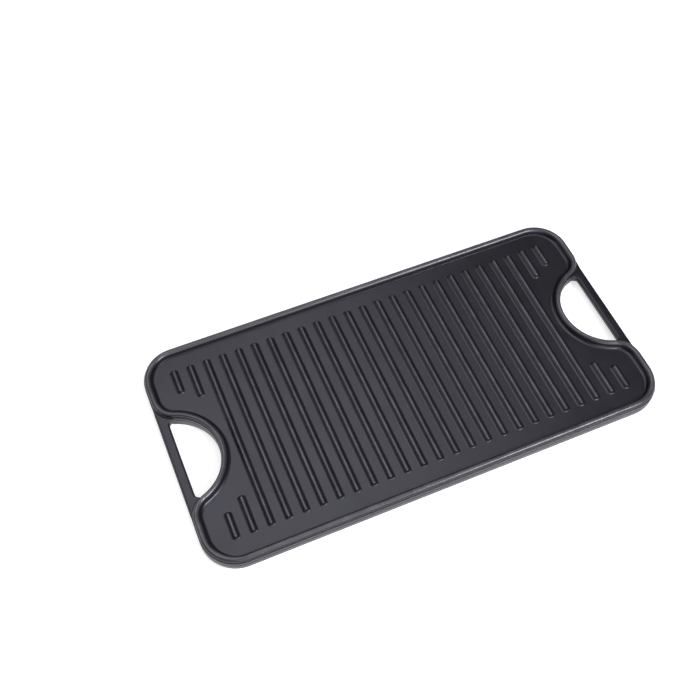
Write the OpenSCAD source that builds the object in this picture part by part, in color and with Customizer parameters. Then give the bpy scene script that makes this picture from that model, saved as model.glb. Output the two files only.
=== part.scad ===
// Reversible cast iron camp griddle plate.
// Ridged face up, smooth face down, long axis along X, resting on the rim of the smooth face at z = 0.

/* [Plate] */
// Length over both handle bars
plate_l = 508; // [440:1:600]
// Width over the long edges
plate_w = 260; // [245:1:320]
// Thickness of the web between the two cooking faces
web_t = 7.5; // [5:0.5:12]
// Plan radius of the four outer corners
corner_r = 38; // [20:1:45]

/* [Rims] */
// Rim height above the ridged face
grill_rim_h = 6.5; // [5:0.5:12]
// Rim height below the smooth face
flat_rim_h = 7; // [5:0.5:12]
// Width of the rim over its two top edges
rim_w = 3.6; // [3:0.1:6]
// Radius of the two edges of the rim top
rim_edge_r = 1.3; // [0.6:0.1:1.4]
// Step from the outer edge of the plate in to the rim
shoulder_w = 2; // [1:0.1:4]
// Height of that step above the web
shoulder_h = 1.8; // [1:0.1:3]
// Radius of the outer edge of that step
shoulder_r = 1; // [0.4:0.1:1]
// Draft of the rim's inner wall, in degrees
rim_draft = 30; // [4:1:36]
// Fillet where the rim meets the ridged face
grill_foot_r = 2.5; // [1:0.5:3]
// Fillet where the rim meets the smooth face
flat_foot_r = 4; // [1:0.5:5]

/* [Hand holes] */
// Width of a handle bar
handle_w = 11; // [8:0.5:16]
// Radius of the long edges of a handle bar
handle_edge_r = 2.4; // [1:0.2:2.4]
// Radius of the two corners beside the handle bar
hole_corner_r = 6; // [3:0.5:10]
// Plan radius of the four lobes beside the hand holes
lobe_r = 27.5; // [22:0.5:32]
// Distance of the lobes' centres from the plate's middle line
lobe_y = 73.125; // [66:0.125:84]

/* [Ridges] */
// Distance from the plate's end to the middle of the outermost ridge
ridge_inset = 34.4; // [30:0.1:44]
// Number of full length ridges
long_ridge_count = 21; // [9:2:21]
// Columns of short ridges beyond the full length ones, at each end
short_columns = 2; // [1:1:2]
// Width of a ridge at its foot
ridge_w = 7.4; // [5:0.2:9]
// Height of a ridge
ridge_h = 3.6; // [2:0.1:4.5]
// Radius of a ridge's crown
crown_r = 2; // [1.2:0.1:2]
// Gap from the long rim's foot to the ridge ends
ridge_end_gap = 16.5; // [6:0.5:30]
// Gap from the bay rim's foot to the short ridges
ridge_bay_gap = 20.5; // [8:0.5:26]

/* [Hidden] */
// Facets of a full circle that is drawn as a true curve
$fn = 96;
// Steps along each rounded edge of a profile
edge_steps = 5;
// How far a cutter runs past what it cuts
past = 1;
// How much fuller a section is than the one that ends in it
hair = 0.04;

// Rounds a derived length to the drawing's grid
function to_grid(v) = round(v / 0.05) * 0.05;

// Levels of the two cooking faces
flat_floor = flat_rim_h;
grill_floor = flat_floor + web_t;

// Half sizes, and the centres of the right bay and of the rear right lobe
half_l = plate_l / 2;
half_w = plate_w / 2;
bay_c = [half_l, 0];
lobe_c = [half_l - lobe_r, lobe_y];
// Radius of the round side of a hand hole, which touches the lobes
hole_r = norm(lobe_c - bay_c) - lobe_r;
// Spoke from the bay past a lobe's centre, on which the two arcs of the rim meet
spoke = 1.6 * (lobe_c - bay_c);
// Half length of a handle bar's straight inner edge, where the hole's corner rounding begins
bar_half = to_grid(sqrt(pow(hole_r - hole_corner_r, 2) - pow(handle_w + hole_corner_r, 2)));
// Centre of that corner rounding, and the bearing at which it runs into the bay
corner_x = bay_c[0] - handle_w - hole_corner_r;
corner_turn = atan2(bar_half, -(handle_w + hole_corner_r));
// A handle's root runs in under the rim's shoulder, and stops where the lobe closes on the plate's end
root_seat = shoulder_w / 2;
root_in = bay_c[0] - handle_w - 2 * hole_corner_r;
root_half = to_grid(lobe_y - sqrt(pow(lobe_r, 2) - pow(lobe_r - handle_edge_r, 2)));

// Distances from the plate's edge: to the centre of the rim's inner top edge, and to the foot of each rim
rim_inner = shoulder_w + rim_w - rim_edge_r;
function foot_in(rim_h, foot_r) =
    let (rise = rim_h - rim_edge_r - foot_r)
    rim_inner + (rim_edge_r + foot_r + rise * sin(rim_draft)) / cos(rim_draft);
grill_foot = foot_in(grill_rim_h, grill_foot_r);

// Ridge columns are counted from the middle of the plate
long_half = (long_ridge_count - 1) / 2;
ridge_pitch = (half_l - ridge_inset) / (long_half + short_columns);
ridge_far = to_grid(half_w - grill_foot - ridge_end_gap);
short_reach = hole_r + grill_foot + ridge_bay_gap;
function short_near(x) = to_grid(sqrt(pow(short_reach, 2) - pow(bay_c[0] - x, 2)));

iron = "#3a3a40";
iron_rim = "#46464d";
iron_ridge = "#404047";

// Points of an arc about c, from angle a0 to angle a1
function arc(c, r, a0, a1, steps) =
    [for (i = [0 : steps]) let (a = a0 + (a1 - a0) * i / steps) [c[0] + r * cos(a), c[1] + r * sin(a)]];

// Section of a rim: x runs in from the plate's edge, y runs up from the cooking face, grown by g all round
module rim_section(rim_h, foot_r, g = 0) {
    top_out = shoulder_w;
    foot = foot_in(rim_h, foot_r);
    edge_y = rim_h - rim_edge_r;
    polygon(concat(
        [[-g, 0]],
        arc([shoulder_r, shoulder_h - shoulder_r], shoulder_r + g, 180, 90, edge_steps),
        [[top_out - g, shoulder_h + g]],
        arc([top_out + rim_edge_r, edge_y], rim_edge_r + g, 180, 90, edge_steps),
        arc([rim_inner, edge_y], rim_edge_r + g, 90, rim_draft, edge_steps),
        arc([foot, foot_r], foot_r - g, 180 + rim_draft, 270, edge_steps),
        g > 0 ? [[foot + g, 0]] : []
    ));
}

// Turns a section about c, between the plan directions a and b
module arc_piece(c, a, b, h) {
    intersection() {
        translate(c) rotate_extrude() children();
        translate([0, 0, -past]) linear_extrude(h + 2 * past) polygon([c, c + a, c + a + b, c + b]);
    }
}

// Sweeps a section once round the rim: long sides, corners, ends, lobes and the two bays
module rim_loop(rim_h, foot_r) {
    side = half_l - corner_r;
    end = half_w - corner_r;
    for (sy = [0, 1])
        mirror([0, sy, 0])
            translate([-side, 0, 0]) rotate([90, 0, 90])
                linear_extrude(2 * side)
                    translate([half_w, 0]) mirror([1, 0]) rim_section(rim_h, foot_r);
    // The bay's section is a hair fuller, so that the lobes end inside it at any size
    for (sx = [0, 1])
        mirror([sx, 0, 0])
            arc_piece(bay_c, spoke, [spoke[0], -spoke[1]], rim_h)
                translate([hole_r, 0]) rim_section(rim_h, foot_r, hair);
    for (sx = [0, 1], sy = [0, 1])
        mirror([sx, 0, 0]) mirror([0, sy, 0]) {
            translate([side, end, 0])
                rotate_extrude(angle = 90)
                    translate([corner_r, 0]) mirror([1, 0]) rim_section(rim_h, foot_r);
            translate([0, end, 0]) rotate([90, 0, 0])
                linear_extrude(end - lobe_y)
                    translate([half_l, 0]) mirror([1, 0]) rim_section(rim_h, foot_r);
            arc_piece(lobe_c, [2 * lobe_r, 0], [-spoke[0] - hair, -spoke[1]], rim_h)
                translate([lobe_r, 0]) mirror([1, 0]) rim_section(rim_h, foot_r);
        }
}

// Plan of the plate: a rectangle with round corners
module plate_outline() {
    square([plate_l - 2 * corner_r, plate_w], center = true);
    square([plate_l, plate_w - 2 * corner_r], center = true);
    for (sx = [-1, 1], sy = [-1, 1])
        translate([sx * (half_l - corner_r), sy * (half_w - corner_r)]) circle(corner_r);
}

// Plan of the right hand hole: a segment of the bay circle, with its two corners rounded
module hole_outline() {
    corner = [corner_x, bar_half];
    reach = 3 * hole_corner_r;
    difference() {
        intersection() {
            translate(bay_c) circle(hole_r);
            translate([bay_c[0] - handle_w - 2 * hole_r, -hole_r]) square(2 * hole_r);
        }
        for (sy = [-1, 1])
            scale([1, sy])
                polygon([
                    corner,
                    corner + [reach, 0],
                    corner + [reach, reach],
                    corner + reach * [cos(corner_turn), sin(corner_turn)]
                ]);
    }
    for (sy = [-1, 1])
        translate([corner[0], sy * corner[1]]) circle(hole_corner_r);
}

// Plan that the right handle takes out of the web, from the plate's end to under the lobes' shoulders
module handle_plan() {
    difference() {
        translate([root_in, -root_half]) square([half_l - root_in, 2 * root_half]);
        for (sy = [-1, 1])
            translate([lobe_c[0], sy * lobe_y]) circle(lobe_r - root_seat);
    }
}

// Web of the casting, with the bay of each hand hole
module plate_web() {
    color(iron)
        translate([0, 0, flat_floor])
            linear_extrude(web_t)
                difference() {
                    plate_outline();
                    for (mx = [0, 1])
                        mirror([mx, 0]) {
                            hole_outline();
                            handle_plan();
                        }
                }
}

// What rounding takes off an edge: x runs in from the wall, y runs down from the face
module edge_waste() {
    r = handle_edge_r;
    polygon(concat([[-past, past], [-past, -r]], arc([r, -r], r, 180, 90, edge_steps), [[r, past]]));
}

// Right handle bar and its two roots, with every edge that a hand meets rounded
module right_handle() {
    color(iron)
        translate([0, 0, flat_floor + web_t / 2])
            difference() {
                linear_extrude(web_t, center = true)
                    difference() {
                        handle_plan();
                        hole_outline();
                    }
                for (mz = [0, 1])
                    mirror([0, 0, mz]) {
                        translate([half_l, root_half + past, web_t / 2]) rotate([90, 0, 0])
                            linear_extrude(2 * (root_half + past))
                                mirror([1, 0]) edge_waste();
                        translate([half_l - handle_w, bar_half, web_t / 2]) rotate([90, 0, 0])
                            linear_extrude(2 * bar_half) edge_waste();
                        for (my = [0, 1])
                            mirror([0, my, 0])
                                translate([corner_x, bar_half, web_t / 2])
                                    rotate_extrude(angle = corner_turn)
                                        translate([hole_corner_r, 0]) edge_waste();
                    }
            }
}

module left_handle() {
    mirror([1, 0, 0]) right_handle();
}

module grill_side_rim() {
    color(iron_rim)
        translate([0, 0, grill_floor]) rim_loop(grill_rim_h, grill_foot_r);
}

module flat_side_rim() {
    color(iron_rim)
        translate([0, 0, flat_floor]) mirror([0, 0, 1]) rim_loop(flat_rim_h, flat_foot_r);
}

// Half section of a ridge: crown, flank tangent to it, foot
function ridge_half() =
    let (
        c = [0, ridge_h - crown_r],
        d = [ridge_w / 2, 0] - c,
        lift = atan2(d[1], d[0]) + acos(crown_r / norm(d))
    )
    concat([[ridge_w / 2, 0]], arc(c, crown_r, lift, 90, edge_steps));

// A ridge along Y at x, from y0 to y1, with half-round ends
module ridge(x, y0, y1) {
    half = ridge_half();
    last = len(half) - 1;
    other = [for (i = [1 : last]) [-half[last - i][0], half[last - i][1]]];
    r = ridge_w / 2;
    translate([x, 0, grill_floor]) {
        translate([0, y1 - r, 0]) rotate([90, 0, 0])
            linear_extrude(y1 - y0 - 2 * r) polygon(concat(half, other));
        translate([0, y1 - r, 0])
            rotate_extrude(angle = 180) polygon(concat([[0, 0]], half));
        translate([0, y0 + r, 0]) rotate([0, 0, 180])
            rotate_extrude(angle = 180) polygon(concat([[0, 0]], half));
    }
}

module long_ridges() {
    color(iron_ridge)
        for (i = [-long_half : long_half])
            ridge(i * ridge_pitch, -ridge_far, ridge_far);
}

// Short ridges of the rear right lobe
module lobe_ridges() {
    color(iron_ridge)
        for (i = [1 : short_columns]) {
            x = (long_half + i) * ridge_pitch;
            ridge(x, short_near(x), ridge_far);
        }
}

module rear_right_ridges() {
    lobe_ridges();
}

module rear_left_ridges() {
    mirror([1, 0, 0]) lobe_ridges();
}

module front_right_ridges() {
    mirror([0, 1, 0]) lobe_ridges();
}

module front_left_ridges() {
    mirror([1, 0, 0]) mirror([0, 1, 0]) lobe_ridges();
}

plate_web();
left_handle();
right_handle();
grill_side_rim();
flat_side_rim();
long_ridges();
front_left_ridges();
rear_left_ridges();
front_right_ridges();
rear_right_ridges();
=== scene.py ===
"""Looks of the camp griddle plate: one seasoned iron casting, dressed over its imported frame."""

import logging
import math
from dataclasses import dataclass
from enum import Enum
from typing import Any, Optional, Sequence

import bmesh
import bpy
from mathutils import Matrix, Vector


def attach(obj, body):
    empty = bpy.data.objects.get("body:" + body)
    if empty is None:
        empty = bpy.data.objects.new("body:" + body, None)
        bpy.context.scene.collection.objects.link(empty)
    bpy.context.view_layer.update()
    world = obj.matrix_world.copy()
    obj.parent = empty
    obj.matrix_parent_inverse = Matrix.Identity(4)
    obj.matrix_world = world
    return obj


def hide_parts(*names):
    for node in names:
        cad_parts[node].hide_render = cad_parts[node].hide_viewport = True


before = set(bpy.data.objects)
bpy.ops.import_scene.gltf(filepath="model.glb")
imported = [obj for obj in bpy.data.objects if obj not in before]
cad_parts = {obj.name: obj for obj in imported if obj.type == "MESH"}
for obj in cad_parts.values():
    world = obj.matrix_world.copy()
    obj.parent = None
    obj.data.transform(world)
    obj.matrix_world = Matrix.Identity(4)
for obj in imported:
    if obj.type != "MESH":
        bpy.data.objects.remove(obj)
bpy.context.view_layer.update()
LOG = logging.getLogger("griddle_plate")
MM = 0.001
# Points of a mesh that lie closer than this, in millimetres, are one point
WELD = 1e-4
# Faces that meet at a wider angle than this, in degrees, keep a sharp edge between them
SHARP = 38

Point = tuple[float, float]
Point3 = tuple[float, float, float]
Rows = list[list[bmesh.types.BMVert]]


class Side(Enum):
    """The two cooking faces."""

    GRILL = "grill"
    FLAT = "flat"


class End(Enum):
    """The two ends of the plate, as the sign of their place along X."""

    LEFT = -1
    RIGHT = 1


class Bank(Enum):
    """A bank of ridges, by the end of its ridges that follows a bay."""

    LONG = 0
    REAR = 1
    FRONT = -1


@dataclass(frozen=True)
class CastingSizes:
    """Sizes of the casting in millimetres, as its solids have them, and of the mould's parting line."""

    half_l: float = 254.0
    half_w: float = 130.0
    corner_r: float = 38.0
    flat_floor: float = 7.0
    grill_floor: float = 14.5
    lobe_r: float = 27.5
    lobe_y: float = 73.125
    bay_r: float = 50.625
    bar_w: float = 11.0
    hole_corner_r: float = 6.0
    bar_half: float = 41.25
    parting_out: float = 0.2
    parting_half: float = 0.7
    parting_flat: float = 0.25

    @property
    def mid_z(self) -> float:
        """Height of the parting line."""
        return (self.flat_floor + self.grill_floor) / 2

    @property
    def lobe_x(self) -> float:
        """Distance of the lobes' centres from the middle along X."""
        return self.half_l - self.lobe_r

    @property
    def lobe_turn(self) -> float:
        """Angle in degrees through which the rim turns round a lobe."""
        return math.degrees(math.atan2(self.lobe_y, self.lobe_r))


@dataclass(frozen=True)
class PlanSteps:
    """Steps along each run of the plan; a lobe has the same steps on its rim and on its handle."""

    side: int = 12
    corner: int = 36
    end: int = 4
    lobe: int = 28
    bay: int = 64
    root: int = 5
    hole_corner: int = 24
    half_bar: int = 10


STEPS = PlanSteps()


@dataclass(frozen=True)
class Station:
    """A point on the rim's plan line.

    Its stage is 0 on the long sides, 1 at the ends and 2 in the bays. In the bends it runs from one to
    the next.
    """

    at: Vector
    inward: Vector
    stage: float


def eased(a: float, b: float, t: float) -> float:
    """Value between a and b at the share t, with a level start and end."""
    return a + (b - a) * t * t * (3 - 2 * t)


def arc_points(centre: Point, radius: float, start: float, stop: float, steps: int) -> list[Point]:
    """Points along an arc.

    Args:
        centre: Centre of the arc.
        radius: Radius of the arc.
        start: First angle in degrees.
        stop: Last angle in degrees.
        steps: Number of steps between them.

    Returns:
        The points, both ends included.
    """
    angles = [math.radians(start + (stop - start) * i / steps) for i in range(steps + 1)]
    return [(centre[0] + radius * math.cos(a), centre[1] + radius * math.sin(a)) for a in angles]


def rim_line(sizes: CastingSizes) -> list[Station]:
    """Plan line of the rims: sides, corners, lobes and bays, once round.

    Args:
        sizes: Sizes of the casting.

    Returns:
        Stations in counterclockwise order, without a double at the start.
    """
    s = sizes
    stations: list[Station] = []

    def straight(a: Point, b: Point, inward: Point, steps: int, stage: float) -> None:
        """Adds the stations of a straight run, without its end."""
        for i in range(steps):
            t = i / steps
            at = Vector((a[0] + (b[0] - a[0]) * t, a[1] + (b[1] - a[1]) * t))
            stations.append(Station(at, Vector(inward), stage))

    def bend(
        centre: Point, radius: float, angles: Point, steps: int, stages: Point, sign: int = 1,
    ) -> None:
        """Adds the stations of an arc, without its end; sign -1 is for a centre outside the plate."""
        for i, p in enumerate(arc_points(centre, radius, *angles, steps)[:-1]):
            at = Vector(p)
            stage = stages[0] + (stages[1] - stages[0]) * i / steps
            stations.append(Station(at, (Vector(centre) - at).normalized() * sign, stage))

    turn = s.lobe_turn
    side, end = s.half_l - s.corner_r, s.half_w - s.corner_r
    straight((0, -s.half_w), (side, -s.half_w), (0, 1), STEPS.side, 0)
    bend((side, -end), s.corner_r, (-90, 0), STEPS.corner, (0, 1))
    straight((s.half_l, -end), (s.half_l, -s.lobe_y), (-1, 0), STEPS.end, 1)
    bend((s.lobe_x, -s.lobe_y), s.lobe_r, (0, turn), STEPS.lobe, (1, 2))
    bend((s.half_l, 0), s.bay_r, (180 + turn, 180 - turn), STEPS.bay, (2, 2), -1)
    bend((s.lobe_x, s.lobe_y), s.lobe_r, (-turn, 0), STEPS.lobe, (2, 1))
    straight((s.half_l, s.lobe_y), (s.half_l, end), (-1, 0), STEPS.end, 1)
    bend((side, end), s.corner_r, (0, 90), STEPS.corner, (1, 0))
    straight((side, s.half_w), (0, s.half_w), (0, -1), STEPS.side, 0)
    return stations + [Station(-x.at, -x.inward, x.stage) for x in stations]


def loft(bm: bmesh.types.BMesh, rows: Sequence[Sequence[Vector]], closed: bool) -> Rows:
    """Skins rows of points of equal length, each row joined to the next, and the last to the first.

    Args:
        bm: Mesh that takes the faces.
        rows: Rows of points.
        closed: Whether each row is a ring.

    Returns:
        The vertices, row by row.
    """
    made = [[bm.verts.new(p) for p in row] for row in rows]
    for i, row in enumerate(made):
        after = made[(i + 1) % len(made)]
        for j in range(len(row) if closed else len(row) - 1):
            k = (j + 1) % len(row)
            bm.faces.new((row[j], after[j], after[k], row[k]))
    return made


def cap(bm: bmesh.types.BMesh, made: Rows) -> None:
    """Closes the top and the underside of a lofted band."""
    bm.faces.new([row[-1] for row in made])
    bm.faces.new([row[0] for row in reversed(made)])


def link(name: str, data: Any) -> bpy.types.Object:
    """Adds an object with the given data to the scene."""
    made = bpy.data.objects.new(name, data)
    bpy.context.scene.collection.objects.link(made)
    return made


def settle(name: str, bm: bmesh.types.BMesh) -> bpy.types.Mesh:
    """Turns a bmesh in millimetres to a mesh in metres, and frees it."""
    bmesh.ops.recalc_face_normals(bm, faces=bm.faces)
    bmesh.ops.scale(bm, vec=(MM, MM, MM), verts=bm.verts)
    mesh = bpy.data.meshes.new(name)
    bm.to_mesh(mesh)
    bm.free()
    return mesh


def soften(mesh: bpy.types.Mesh) -> None:
    """Shades a mesh smooth, apart from its real edges."""
    mesh.polygons.foreach_set("use_smooth", [True] * len(mesh.polygons))
    mesh.set_sharp_from_angle(angle=math.radians(SHARP))
    mesh.update()


def finish_mesh(name: str, bm: bmesh.types.BMesh, material: bpy.types.Material) -> bpy.types.Object:
    """Turns a bmesh in millimetres to a smooth piece in metres at the origin.

    Args:
        name: Name of the piece.
        bm: The mesh, which is freed.
        material: Its finish.

    Returns:
        The new object, linked to the scene.
    """
    bmesh.ops.remove_doubles(bm, verts=bm.verts, dist=WELD)
    bmesh.ops.triangulate(bm, faces=[f for f in bm.faces if len(f.verts) > 4], ngon_method="EAR_CLIP")
    mesh = settle(name, bm)
    mesh.materials.append(material)
    soften(mesh)
    return link(name, mesh)


def wear_and_highlight(mesh: bpy.types.Mesh, low: float, high: float) -> None:
    """Marks how far each point of a mesh is rubbed bare and painted with a highlight, as a point
    attribute.

    Args:
        mesh: The mesh, in metres.
        low: Height in millimetres at which rubbing and the painted highlight begin.
        high: Height in millimetres at which it is full.
    """
    marks = mesh.attributes.new("wear_and_highlight", "FLOAT", "POINT")
    shares = [(v.co.z / MM - low) / (high - low) for v in mesh.vertices]
    marks.data.foreach_set("value", [min(max(share, 0.0), 1.0) for share in shares])


def seat(piece: bpy.types.Object, *nodes: str) -> None:
    """Lets a piece ride on the casting, in place of solids of the frame."""
    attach(piece, "root")
    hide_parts(*nodes)
    LOG.info("%s stands for %s, %d faces", piece.name, ", ".join(nodes), len(piece.data.polygons))


def linear(hexa: str) -> tuple[float, float, float, float]:
    """Turns an sRGB hex value to linear colour.

    Args:
        hexa: Colour as #rrggbb.

    Returns:
        Red, green, blue and 1.
    """
    parts = [int(hexa[i:i + 2], 16) / 255 for i in (1, 3, 5)]
    return (*[c / 12.92 if c <= 0.04045 else ((c + 0.055) / 1.055) ** 2.4 for c in parts], 1.0)


def blank_tree(owner: bpy.types.Material | bpy.types.World) -> bpy.types.NodeTree:
    """Gives a material or world an empty node tree."""
    owner.use_nodes = True
    owner.node_tree.nodes.clear()
    return owner.node_tree


def add_node(
    tree: bpy.types.NodeTree,
    kind: str,
    settings: Optional[dict[str, Any]] = None,
    sockets: Optional[dict[Any, Any]] = None,
) -> bpy.types.Node:
    """Adds a node to a tree.

    Args:
        tree: Tree that takes the node.
        kind: Type name of the node.
        settings: Values of the node's own properties.
        sockets: Inputs by name or number, each a constant or the output that feeds it.

    Returns:
        The node.
    """
    node = tree.nodes.new(kind)
    for key, value in (settings or {}).items():
        setattr(node, key, value)
    for key, value in (sockets or {}).items():
        if isinstance(value, bpy.types.NodeSocket):
            tree.links.new(value, node.inputs[key])
        else:
            node.inputs[key].default_value = value
    return node


def math_node(tree: bpy.types.NodeTree, operation: str, *values: Any) -> bpy.types.NodeSocket:
    """Output of a Math node on the given values."""
    return add_node(tree, "ShaderNodeMath", {"operation": operation}, dict(enumerate(values))).outputs[0]


@dataclass(frozen=True)
class SeasonedIron:
    """Seasoned cast iron: sand-cast skin under baked oil.

    The eye sees a near black, slightly blue satin coat. It is cloudy where the oil pooled, the sand's
    grain shows through it as fine pits, and edges that are rubbed are a little smoother and greyer; that
    grey is partly wear and partly a painted highlight on the rim tops and ridge crests.
    """

    name: str = "seasoned_cast_iron"
    coat: str = "#101014"
    bloom: str = "#17171c"
    # Grey of the rubbed tops: partly wear, partly a painted highlight
    worn_and_highlight: str = "#424246"
    sheen: str = "#efedff"
    roughness: float = 0.34
    rough_span: float = 0.08
    worn_roughness: float = 0.22
    cloud_mm: float = 38.0
    # Sand grain is about 0.4 mm; it is drawn at 1.5 mm, because the finer grain falls between pixels.
    grain_mm: float = 1.5
    grain_depth_mm: float = 0.08
    wave_mm: float = 14.0
    wave_depth_mm: float = 0.25

    def make(self) -> bpy.types.Material:
        """Builds the material.

        Returns:
            The material, on Object coordinates.
        """
        material = bpy.data.materials.new(self.name)
        tree = blank_tree(material)
        where = add_node(tree, "ShaderNodeTexCoord").outputs["Object"]

        def noise(size_mm: float, detail: float, fineness: float) -> bpy.types.NodeSocket:
            """Noise whose blotches have the given real size."""
            sockets = {"Vector": where, "Scale": 1000 / size_mm, "Detail": detail, "Roughness": fineness}
            return add_node(tree, "ShaderNodeTexNoise", None, sockets).outputs["Fac"]

        def mapped(
            value: Any, from_min: float, from_max: float, to_min: Any, to_max: Any,
        ) -> bpy.types.NodeSocket:
            """A value moved from one range to another."""
            sockets = {
                "Value": value,
                "From Min": from_min,
                "From Max": from_max,
                "To Min": to_min,
                "To Max": to_max,
            }
            return add_node(tree, "ShaderNodeMapRange", None, sockets).outputs["Result"]

        def mixed(share: Any, a: Any, b: Any) -> bpy.types.NodeSocket:
            """Two colours mixed."""
            sockets = {"Factor": share, "A": a, "B": b}
            return add_node(tree, "ShaderNodeMix", {"data_type": "RGBA"}, sockets).outputs["Result"]

        cloud = noise(self.cloud_mm, detail=4.0, fineness=0.55)
        grain = noise(self.grain_mm, detail=3.0, fineness=0.6)
        wave = noise(self.wave_mm, detail=2.0, fineness=0.5)
        # Rubbed tops of rims and ridges turn smoother, and greyer as wear and as a painted highlight
        wear_and_highlight_share = add_node(tree, "ShaderNodeAttribute", {"attribute_name": "wear_and_highlight"}).outputs["Fac"]
        patchy = mapped(wave, from_min=0.25, from_max=0.65, to_min=0.35, to_max=1.0)
        bare_and_highlit = math_node(tree, "MULTIPLY", wear_and_highlight_share, patchy)
        oiled = mixed(cloud, linear(self.coat), linear(self.bloom))
        tint = mixed(bare_and_highlit, oiled, linear(self.worn_and_highlight))
        smoother = self.roughness - self.rough_span / 2
        rougher = self.roughness + self.rough_span / 2
        satin = mapped(cloud, from_min=0.3, from_max=0.7, to_min=smoother, to_max=rougher)
        rough = mapped(bare_and_highlit, from_min=0.0, from_max=1.0, to_min=satin, to_max=self.worn_roughness)
        low = add_node(
            tree, "ShaderNodeBump", None,
            {"Strength": 0.25, "Distance": self.wave_depth_mm * MM, "Height": wave},
        ).outputs["Normal"]
        pits = add_node(
            tree, "ShaderNodeBump", None,
            {"Strength": 0.35, "Distance": self.grain_depth_mm * MM, "Height": grain, "Normal": low},
        ).outputs["Normal"]
        shader = add_node(
            tree, "ShaderNodeBsdfPrincipled", None,
            {
                "Base Color": tint, "Roughness": rough, "Normal": pits, "IOR": 1.5, "Metallic": 0.0,
                "Specular Tint": linear(self.sheen),
            },
        )
        add_node(tree, "ShaderNodeOutputMaterial", None, {"Surface": shader.outputs["BSDF"]})
        return material


@dataclass
class Rim:
    """Raised rim round one face, swept along the rim's plan line."""

    side: Side
    sizes: CastingSizes
    height: float
    foot_r: float
    end_foot_r: float = 3.8
    foot_steps: int = 10
    shoulder_w: float = 0.9
    shoulder_h: float = 1.8
    shoulder_r: float = 0.45
    shoulder_steps: int = 6
    groove_r: float = 0.3
    groove_steps: int = 5
    outer_r: float = 3.1
    bay_outer_r: float = 2.0
    outer_steps: int = 9
    inner_r: float = 4.2
    inner_steps: int = 12
    draft: float = 12.0

    def section(self, stage: float) -> list[Point]:
        """Section of the rim: shoulder, groove, bead and foot.

        The bead is tighter in the bays, and the foot has a radius of its own at the ends.

        Args:
            stage: Stage of the station, 0 to 2.

        Returns:
            Points whose x runs in from the plate's edge and whose y runs out from the face.
        """
        foot_r = eased(self.foot_r, self.end_foot_r, min(stage, 1.0))
        outer_r = eased(self.outer_r, self.bay_outer_r, max(stage - 1.0, 0.0))
        lift = math.radians(self.draft)
        crest = self.shoulder_w + outer_r
        inner = self.height - self.inner_r
        reach = self.inner_r + foot_r + math.sin(lift) * (inner - foot_r)
        shoulder = (self.shoulder_r, self.shoulder_h - self.shoulder_r)
        groove = (self.shoulder_w - self.groove_r, self.shoulder_h + self.groove_r)
        foot = (crest + reach / math.cos(lift), foot_r)
        points = [(0.0, 0.0)]
        points += arc_points(shoulder, self.shoulder_r, 180, 90, self.shoulder_steps)
        points += arc_points(groove, self.groove_r, 270, 360, self.groove_steps)
        points += arc_points((crest, self.height - outer_r), outer_r, 180, 90, self.outer_steps)
        points += arc_points((crest, inner), self.inner_r, 90, self.draft, self.inner_steps)[1:]
        points += arc_points(foot, foot_r, 180 + self.draft, 270, self.foot_steps)
        return points

    def build(self, material: bpy.types.Material) -> bpy.types.Object:
        """Sweeps the rim.

        Args:
            material: Finish of the casting.

        Returns:
            The piece.
        """
        up = self.side is Side.GRILL
        face = self.sizes.grill_floor if up else self.sizes.flat_floor
        way = 1 if up else -1
        rows = []
        for station in rim_line(self.sizes):
            row = []
            for u, v in self.section(station.stage):
                at = station.at + station.inward * u
                row.append(Vector((at.x, at.y, face + way * v)))
            rows.append(row)
        bm = bmesh.new()
        loft(bm, rows, True)
        piece = finish_mesh(f"{self.side.value}_rim", bm, material)
        # The rim's top band gets wear and a painted highlight
        wear_and_highlight(piece.data, face + way * (self.height - self.bay_outer_r), face + way * self.height)
        return piece

    def dress(self, piece: bpy.types.Object) -> None:
        """Seats the rim in place of its solid."""
        seat(piece, f"{self.side.value}_side_rim")


@dataclass
class Web:
    """Plate between the two faces, with the parting line of the mould round its edge."""

    sizes: CastingSizes

    def build(self, material: bpy.types.Material) -> bpy.types.Object:
        """Builds the plate.

        Args:
            material: Finish of the casting.

        Returns:
            The piece.
        """
        s = self.sizes
        edge = [
            (0.0, s.flat_floor),
            (0.0, s.mid_z - s.parting_half),
            (-s.parting_out, s.mid_z - s.parting_flat),
            (-s.parting_out, s.mid_z + s.parting_flat),
            (0.0, s.mid_z + s.parting_half),
            (0.0, s.grill_floor),
        ]
        rows = []
        for station in rim_line(s):
            rows.append([(station.at + station.inward * u).to_3d() + Vector((0, 0, z)) for u, z in edge])
        bm = bmesh.new()
        cap(bm, loft(bm, rows, False))
        return finish_mesh("plate", bm, material)

    def dress(self, piece: bpy.types.Object) -> None:
        """Seats the plate in place of its solid."""
        seat(piece, "plate_web")


@dataclass(frozen=True)
class GripPoint:
    """A point on a handle's plan: its place, the way into the handle, its rounding and its fillet."""

    at: Vector
    inward: Vector
    rounding: float
    fillet: float


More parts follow.
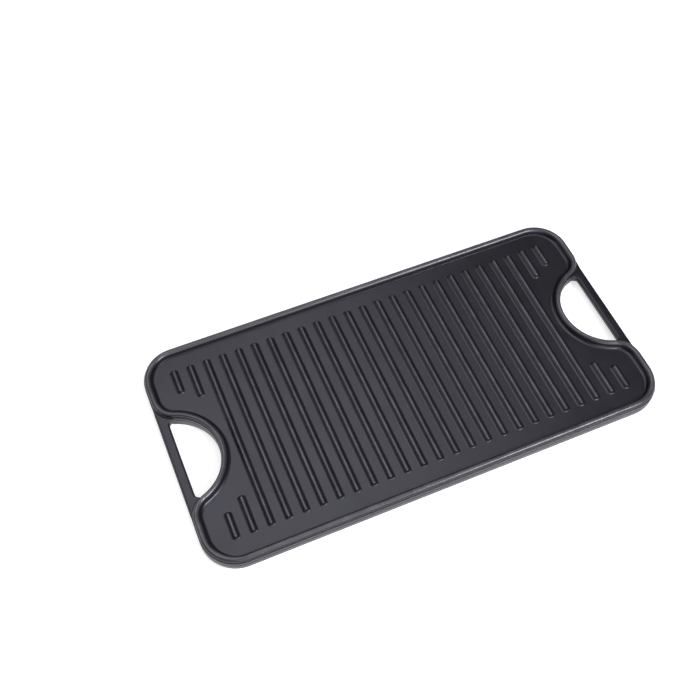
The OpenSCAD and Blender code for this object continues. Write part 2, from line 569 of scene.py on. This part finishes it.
@dataclass
class Handle:
    """Bar behind a hand hole, with roots that flow into the two lobes beside it."""

    end: End
    sizes: CastingSizes
    edge_r: float = 2.4
    fillet_r: float = 1.4
    steps: int = 7
    # Most of the room beside a rounding or fillet that it may take up
    room_share: float = 0.42
    # Least rounding of an edge that shows the parting line
    parting_from: float = 1.0

    def plan(self) -> list[GripPoint]:
        """Plan of the right handle.

        Returns:
            Points in counterclockwise order: end, rear root, inside of the bar, front root.
        """
        s = self.sizes
        corner = Vector((s.half_l - s.bar_w - s.hole_corner_r, s.bar_half))
        bay = Vector((s.half_l, 0))
        meet = math.degrees(math.atan2(corner.y, corner.x - bay.x))
        centre = Vector((s.lobe_x, s.lobe_y))

        def held(at: Vector, size: float) -> float:
            """Size of a rounding or fillet, held to the room beside it where the plan closes."""
            hole, end = (at - corner).length - s.hole_corner_r, s.half_l - at.x
            rim = max(min(s.bay_r - (at - bay).length, (at - centre).length - s.lobe_r), 0.0)
            return min(size, self.room_share * max(rim, min(hole, end)))

        lobe = [Vector(p) for p in arc_points(tuple(centre), s.lobe_r, 0, -s.lobe_turn, STEPS.lobe)]
        upper: list[GripPoint] = []
        for p in reversed(lobe[1:-1]):
            room = min(self.edge_r, self.room_share * (s.half_l - p.x))
            upper.append(GripPoint(Vector((s.half_l, p.y)), Vector((-1, 0)), room, 0))
        upper.append(GripPoint(lobe[0], Vector((-1, 0)), 0, 0))
        for at in lobe[1:]:
            upper.append(GripPoint(at, (at - centre).normalized(), 0, held(at, self.fillet_r)))
        for p in arc_points(tuple(bay), s.bay_r, 180 - s.lobe_turn, meet, STEPS.root)[1:-1]:
            at = Vector(p)
            upper.append(GripPoint(at, (bay - at).normalized(), 0, held(at, self.fillet_r)))
        for p in arc_points(tuple(corner), s.hole_corner_r, meet, 0, STEPS.hole_corner):
            at = Vector(p)
            upper.append(GripPoint(at, (at - corner).normalized(), held(at, self.edge_r), 0))
        for i in range(1, STEPS.half_bar):
            y = s.bar_half * (1 - i / STEPS.half_bar)
            upper.append(GripPoint(Vector((s.half_l - s.bar_w, y)), Vector((1, 0)), self.edge_r, 0))
        middle = GripPoint(Vector((s.half_l - s.bar_w, 0)), Vector((1, 0)), self.edge_r, 0)
        lower = [
            GripPoint(Vector((g.at.x, -g.at.y)), Vector((g.inward.x, -g.inward.y)), g.rounding, g.fillet)
            for g in reversed(upper)
        ]
        start = GripPoint(Vector((s.half_l, 0)), Vector((-1, 0)), self.edge_r, 0)
        return [start, *upper, middle, *lower]

    def ring(self, grip: GripPoint) -> list[Vector]:
        """Section at a point of the plan, from the underside out and up to the top."""
        s = self.sizes
        out = s.parting_out if grip.fillet == 0 and grip.rounding > self.parting_from else 0.0
        half: list[Point] = [(-out, s.mid_z + s.parting_flat), (0.0, s.mid_z + s.parting_half)]
        if grip.fillet > 0:
            centre = (grip.fillet, s.grill_floor + grip.fillet)
            half += arc_points(centre, grip.fillet, 180, 270, self.steps)
        else:
            centre = (grip.rounding, s.grill_floor - grip.rounding)
            half += arc_points(centre, grip.rounding, 180, 90, self.steps)
        both = [(u, 2 * s.mid_z - z) for u, z in reversed(half)] + half
        points = []
        for u, z in both:
            at = grip.at + grip.inward * u
            points.append(Vector((self.end.value * at.x, at.y, z)))
        return points

    def build(self, material: bpy.types.Material) -> bpy.types.Object:
        """Builds the bar and its roots.

        Args:
            material: Finish of the casting.

        Returns:
            The piece.
        """
        bm = bmesh.new()
        cap(bm, loft(bm, [self.ring(g) for g in self.plan()], False))
        return finish_mesh(f"{self.end.name.lower()}_bar", bm, material)

    def dress(self, piece: bpy.types.Object) -> None:
        """Seats the handle in place of its solid."""
        seat(piece, f"{self.end.name.lower()}_handle")


@dataclass
class Ridges:
    """A bank of ridges, set out by Geometry Nodes from one short ridge.

    Columns are counted from the middle of the plate, and the bank begins at its first one.
    """

    name: str
    bank: Bank
    end: End
    sizes: CastingSizes
    node: str
    count: int
    first_column: int
    pitch: float = 18.3
    far: float = 103.25
    reach: float = 81.37
    width: float = 7.4
    height: float = 3.6
    crown_r: float = 2.0
    crown_steps: int = 7
    foot_r: float = 2.8
    foot_steps: int = 5
    nose: float = 0.62
    nose_steps: int = 14
    seed_half: float = 1.0

    def section(self) -> list[Point]:
        """Half section of a ridge: foot fillet, flank and crown.

        Returns:
            Points from the foot to the crown, x out from the ridge's middle and y up.
        """
        centre = (0.0, self.height - self.crown_r)
        run = Vector((self.width / 2, -centre[1]))
        lift = math.degrees(math.atan2(run.y, run.x) + math.acos(self.crown_r / run.length))
        slope = math.radians(90 - lift)
        foot_x = self.width / 2 + self.foot_r * math.tan(slope / 2)
        points = arc_points((foot_x, self.foot_r), self.foot_r, 270, 180 + lift, self.foot_steps)
        points += arc_points(centre, self.crown_r, lift, 90, self.crown_steps)
        return points

    def seed(self) -> bpy.types.Mesh:
        """One short ridge along Y at the origin, whose two ends the tree pulls apart.

        Returns:
            The mesh, in metres.
        """
        section = self.section()
        per_end = self.nose_steps + 1
        bm = bmesh.new()
        rows, poles = [], []
        for half, y0 in enumerate((self.seed_half, -self.seed_half)):
            poles.append(bm.verts.new((0, y0, section[-1][1])))
            for j in range(per_end):
                a = math.pi * (half + j / self.nose_steps)
                across, along = math.cos(a), math.sin(a)
                row = [(r * across, y0 + self.nose * r * along, h) for r, h in section[:-1]]
                rows.append([bm.verts.new(p) for p in row])
        for i, row in enumerate(rows):
            after = rows[(i + 1) % len(rows)]
            for k in range(len(row) - 1):
                bm.faces.new((row[k], after[k], after[k + 1], row[k + 1]))
            here, there = poles[i // per_end], poles[((i + 1) % len(rows)) // per_end]
            corners = (row[-1], after[-1], there) if here is there else (row[-1], after[-1], there, here)
            bm.faces.new(corners)
        bm.faces.new([row[0] for row in reversed(rows)])
        return settle(self.name, bm)

    @staticmethod
    def tree() -> bpy.types.NodeTree:
        """Tree that repeats the ridge along X and draws each one out to its ends.

        Returns:
            The node group, with named inputs in metres.
        """
        tree = bpy.data.node_groups.new("ridge_bank", "GeometryNodeTree")
        face = tree.interface
        face.new_socket("Geometry", in_out="INPUT", socket_type="NodeSocketGeometry")
        face.new_socket("Geometry", in_out="OUTPUT", socket_type="NodeSocketGeometry")
        face.new_socket("Count", in_out="INPUT", socket_type="NodeSocketInt")
        lengths = ("First", "Pitch", "Floor", "Rear End", "Front End", "Bay Centre", "Bay Reach", "Slack")
        for name in lengths:
            face.new_socket(name, in_out="INPUT", socket_type="NodeSocketFloat")
        face.new_socket("Bay Side", in_out="INPUT", socket_type="NodeSocketInt")
        face.new_socket("Material", in_out="INPUT", socket_type="NodeSocketMaterial")
        given = tree.nodes.new("NodeGroupInput").outputs

        def follows(bank: Bank) -> bpy.types.NodeSocket:
            """Whether the bank is the given one."""
            return add_node(
                tree, "FunctionNodeCompare", {"data_type": "INT", "operation": "EQUAL"},
                {"A": given["Bay Side"], "B": bank.value},
            ).outputs[0]

        def either(test: bpy.types.NodeSocket, yes: Any, no: Any) -> bpy.types.NodeSocket:
            """One of two lengths, by a test."""
            sockets = {"Switch": test, "False": no, "True": yes}
            return add_node(tree, "GeometryNodeSwitch", {"input_type": "FLOAT"}, sockets).outputs[0]

        # A point for each ridge, which keeps its column for the ridge that is set on it
        start = add_node(tree, "ShaderNodeCombineXYZ", None, {"X": given["First"], "Z": given["Floor"]})
        step = add_node(tree, "ShaderNodeCombineXYZ", None, {"X": given["Pitch"]})
        line = add_node(
            tree, "GeometryNodeMeshLine", {"mode": "OFFSET"},
            {"Count": given["Count"], "Start Location": start.outputs[0], "Offset": step.outputs[0]},
        )
        place = add_node(tree, "GeometryNodeInputPosition").outputs[0]
        place_parts = add_node(tree, "ShaderNodeSeparateXYZ", None, {0: place}).outputs
        kept = add_node(tree, "GeometryNodeCaptureAttribute", {"domain": "POINT"})
        kept.capture_items.new("FLOAT", "Column")
        tree.links.new(line.outputs["Mesh"], kept.inputs["Geometry"])
        tree.links.new(place_parts["X"], kept.inputs["Column"])
        spread = add_node(
            tree, "GeometryNodeInstanceOnPoints", None,
            {"Points": kept.outputs["Geometry"], "Instance": given["Geometry"]},
        )
        real = add_node(tree, "GeometryNodeRealizeInstances", None, {0: spread.outputs["Instances"]})

        # The end that faces a bay lies on a circle round it, the other ends on a line
        across = math_node(tree, "SUBTRACT", given["Bay Centre"], kept.outputs["Column"])
        reach_square = math_node(tree, "POWER", given["Bay Reach"], 2.0)
        square = math_node(tree, "SUBTRACT", reach_square, math_node(tree, "POWER", across, 2.0))
        near = math_node(tree, "SQRT", math_node(tree, "MAXIMUM", square, 0.0))
        mirrored = math_node(tree, "MULTIPLY", near, -1.0)
        rear_end = either(follows(Bank.FRONT), mirrored, given["Rear End"])
        front_end = either(follows(Bank.REAR), near, given["Front End"])

        # Each half of the ridge is drawn out to its own end
        behind = add_node(
            tree, "FunctionNodeCompare", {"data_type": "FLOAT", "operation": "GREATER_THAN"},
            {"A": place_parts["Y"], "B": 0.0},
        ).outputs[0]
        rear_shift = math_node(tree, "SUBTRACT", rear_end, given["Slack"])
        front_shift = math_node(tree, "ADD", front_end, given["Slack"])
        shift = either(behind, rear_shift, front_shift)
        offset = add_node(tree, "ShaderNodeCombineXYZ", None, {"Y": shift}).outputs[0]
        drawn = add_node(
            tree, "GeometryNodeSetPosition", None, {"Geometry": real.outputs[0], "Offset": offset},
        )
        coated = add_node(
            tree, "GeometryNodeSetMaterial", None,
            {"Geometry": drawn.outputs[0], "Material": given["Material"]},
        )
        add_node(tree, "NodeGroupOutput", None, {0: coated.outputs[0]})
        return tree

    def build(self, tree: bpy.types.NodeTree, material: bpy.types.Material) -> bpy.types.Object:
        """Sets out the bank and turns it to a plain mesh.

        Args:
            tree: The tree that sets out ridges.
            material: Finish of the casting.

        Returns:
            The piece.
        """
        piece = link(self.name, self.seed())
        values = {
            "Count": self.count,
            "First": self.first_column * self.pitch * MM,
            "Pitch": self.pitch * MM,
            "Floor": self.sizes.grill_floor * MM,
            "Rear End": (self.far if self.bank is not Bank.FRONT else 0.0) * MM,
            "Front End": (-self.far if self.bank is not Bank.REAR else 0.0) * MM,
            "Bay Centre": self.end.value * self.sizes.half_l * MM,
            "Bay Reach": self.reach * MM,
            "Slack": (self.nose * self.width / 2 + self.seed_half) * MM,
            "Bay Side": self.bank.value,
            "Material": material,
        }
        modifier = piece.modifiers.new("ridge_bank", "NODES")
        modifier.node_group = tree
        for item in tree.interface.items_tree:
            if item.item_type == "SOCKET" and item.in_out == "INPUT" and item.name in values:
                modifier[item.identifier] = values[item.name]
        graph = bpy.context.evaluated_depsgraph_get()
        plain = bpy.data.meshes.new_from_object(piece.evaluated_get(graph), depsgraph=graph)
        piece.modifiers.clear()
        piece.data = plain
        soften(plain)
        top = self.sizes.grill_floor + self.height
        # The ridges' crests get wear and a painted highlight
        wear_and_highlight(plain, top - self.crown_r / 2, top)
        return piece

    def dress(self, piece: bpy.types.Object) -> None:
        """Seats the bank in place of its solids."""
        seat(piece, self.node)


@dataclass(frozen=True)
class SoftLamp:
    """An area lamp of the studio, in metres and watts."""

    name: str
    at: Point3
    to: Point3
    size: Point
    watts: float

    def hang(self) -> None:
        """Adds the lamp to the scene."""
        light = bpy.data.lights.new(self.name, "AREA")
        light.shape = "RECTANGLE"
        light.size, light.size_y = self.size
        light.energy = self.watts
        lamp = link(self.name, light)
        lamp.location = self.at
        lamp.rotation_mode = "QUATERNION"
        lamp.rotation_quaternion = (Vector(self.to) - Vector(self.at)).to_track_quat("-Z", "Y")
        LOG.info("lamp %s, %.0f W", self.name, self.watts)


LAMPS = (
    SoftLamp("overhead_box", at=(-0.26, 0.49, 1.60), to=(-0.1, 0.1, 0.0), size=(1.9, 1.3), watts=18.0),
    SoftLamp("front_box", at=(-0.10, -1.45, 0.80), to=(0.0, 0.0, 0.0), size=(1.3, 0.8), watts=13.0),
    SoftLamp("front_right_box", at=(0.73, -1.00, 1.30), to=(0.1, 0.0, 0.0), size=(0.5, 0.9), watts=32.0),
    SoftLamp("front_top_strip", at=(0.03, -0.58, 1.50), to=(-0.2, 0.1, 0.0), size=(0.36, 0.7), watts=2.0),
    SoftLamp("left_rear_box", at=(-1.50, 0.95, 0.42), to=(0.0, 0.0, 0.0), size=(1.4, 0.7), watts=4.0),
)


@dataclass(frozen=True)
class PhotoCamera:
    """Camera of the photograph: angles in degrees, lengths in millimetres, focal length in pixels."""

    azimuth: float = -22.70
    elevation: float = 57.62
    roll: float = 0.09
    pixels: int = 700
    focal: float = 989.7
    offset: Point3 = (52.67, 30.73, 1056.8)
    level: float = 16.25
    sensor: float = 36.0

    def place(self) -> None:
        """Puts the camera where the photograph was taken from."""
        azimuth, elevation, roll = (math.radians(a) for a in (self.azimuth, self.elevation, self.roll))
        reach = math.cos(elevation)
        back = Vector((math.sin(azimuth) * reach, -math.cos(azimuth) * reach, math.sin(elevation)))
        right = (-back).cross(Vector((0, 0, 1))).normalized()
        down = (-back).cross(right)
        across = right * math.cos(roll) + down * math.sin(roll)
        below = down * math.cos(roll) - right * math.sin(roll)
        turn = Matrix((across, -below, back)).transposed()
        offset = Vector(self.offset) * MM
        shift = across * offset.x + below * offset.y - back * offset.z
        data = bpy.data.cameras.new("camera")
        data.sensor_width = self.sensor
        data.lens = self.focal / self.pixels * data.sensor_width
        data.clip_start, data.clip_end = 0.01, 50.0
        camera = link("camera", data)
        camera.matrix_world = Matrix.Translation(Vector((0, 0, self.level * MM)) - shift) @ turn.to_4x4()
        bpy.context.scene.camera = camera


@dataclass
class Studio:
    """Pale floor, soft lamps and a dim world."""

    floor_size: float = 12.0
    # The floor is a pale grey that the lamps and the lift together bring to white.
    floor_tone: str = "#cccccc"
    floor_lift: float = 0.62
    horizon_level: float = 0.3
    sky_level: float = 0.05
    horizon_from: float = 0.02
    horizon_to: float = 0.16

    def lay_floor(self) -> None:
        """Lays the floor, which shows white to the camera and keeps the plate's shadow."""
        # The eye sees plain white paper without a sheen.
        material = bpy.data.materials.new("matt_white_paper")
        tree = blank_tree(material)
        path = add_node(tree, "ShaderNodeLightPath").outputs
        seen = math_node(tree, "ADD", path["Is Camera Ray"], path["Is Glossy Ray"])
        seen = math_node(tree, "ADD", seen, path["Is Transmission Ray"])
        seen = math_node(tree, "MINIMUM", seen, 1.0)
        lift = math_node(tree, "MULTIPLY", seen, self.floor_lift)
        paper = add_node(tree, "ShaderNodeBsdfDiffuse", None, {"Color": linear(self.floor_tone)})
        glow = add_node(tree, "ShaderNodeEmission", None, {"Strength": lift})
        both = add_node(tree, "ShaderNodeAddShader", None, {0: paper.outputs[0], 1: glow.outputs[0]})
        add_node(tree, "ShaderNodeOutputMaterial", None, {"Surface": both.outputs[0]})
        h = self.floor_size / 2
        mesh = bpy.data.meshes.new("floor")
        mesh.from_pydata([(-h, -h, 0), (h, -h, 0), (h, h, 0), (-h, h, 0)], [], [(0, 1, 2, 3)])
        mesh.materials.append(material)
        floor = link("floor", mesh)

    def light(self) -> None:
        """Hangs the lamps, and sets a dim world that is pale at its horizon."""
        for lamp in LAMPS:
            lamp.hang()
        world = bpy.data.worlds.new("studio")
        bpy.context.scene.world = world
        tree = blank_tree(world)
        ray = add_node(tree, "ShaderNodeTexCoord").outputs["Generated"]
        height = add_node(tree, "ShaderNodeSeparateXYZ", None, {0: ray}).outputs["Z"]
        level = add_node(
            tree, "ShaderNodeMapRange", {"interpolation_type": "SMOOTHSTEP"},
            {
                "Value": height, "From Min": self.horizon_from, "From Max": self.horizon_to,
                "To Min": self.horizon_level, "To Max": self.sky_level,
            },
        ).outputs["Result"]
        sky = add_node(tree, "ShaderNodeBackground", None, {"Strength": level})
        add_node(tree, "ShaderNodeOutputWorld", None, {"Surface": sky.outputs[0]})


def ridge_banks(sizes: CastingSizes) -> list[Ridges]:
    """The long ridges, and the two short ones in each lobe."""
    long = Ridges("grill_ridges", Bank.LONG, End.RIGHT, sizes, "long_ridges", count=21, first_column=-10)
    banks = [long]
    for end in End:
        column = 11 if end is End.RIGHT else -12
        for bank in (Bank.FRONT, Bank.REAR):
            lobe = f"{bank.name.lower()}_{end.name.lower()}"
            node = f"{lobe}_ridges"
            banks.append(Ridges(f"{lobe}_short", bank, end, sizes, node, count=2, first_column=column))
    return banks


def main() -> None:
    """Builds the casting piece by piece, then the studio round it."""
    logging.basicConfig(level=logging.INFO, format="%(name)s: %(message)s")
    bpy.context.scene.view_settings.view_transform = "Standard"
    PhotoCamera().place()
    sizes = CastingSizes()
    iron = SeasonedIron().make()
    for part in (
        Web(sizes),
        Rim(Side.GRILL, sizes, height=6.5, foot_r=0.5),
        Rim(Side.FLAT, sizes, height=7.0, foot_r=4.2),
        Handle(End.LEFT, sizes),
        Handle(End.RIGHT, sizes),
    ):
        part.dress(part.build(iron))
    tree = Ridges.tree()
    for bank in ridge_banks(sizes):
        bank.dress(bank.build(tree, iron))
    studio = Studio()
    studio.lay_floor()
    studio.light()


if __name__ == "__main__":
    main()
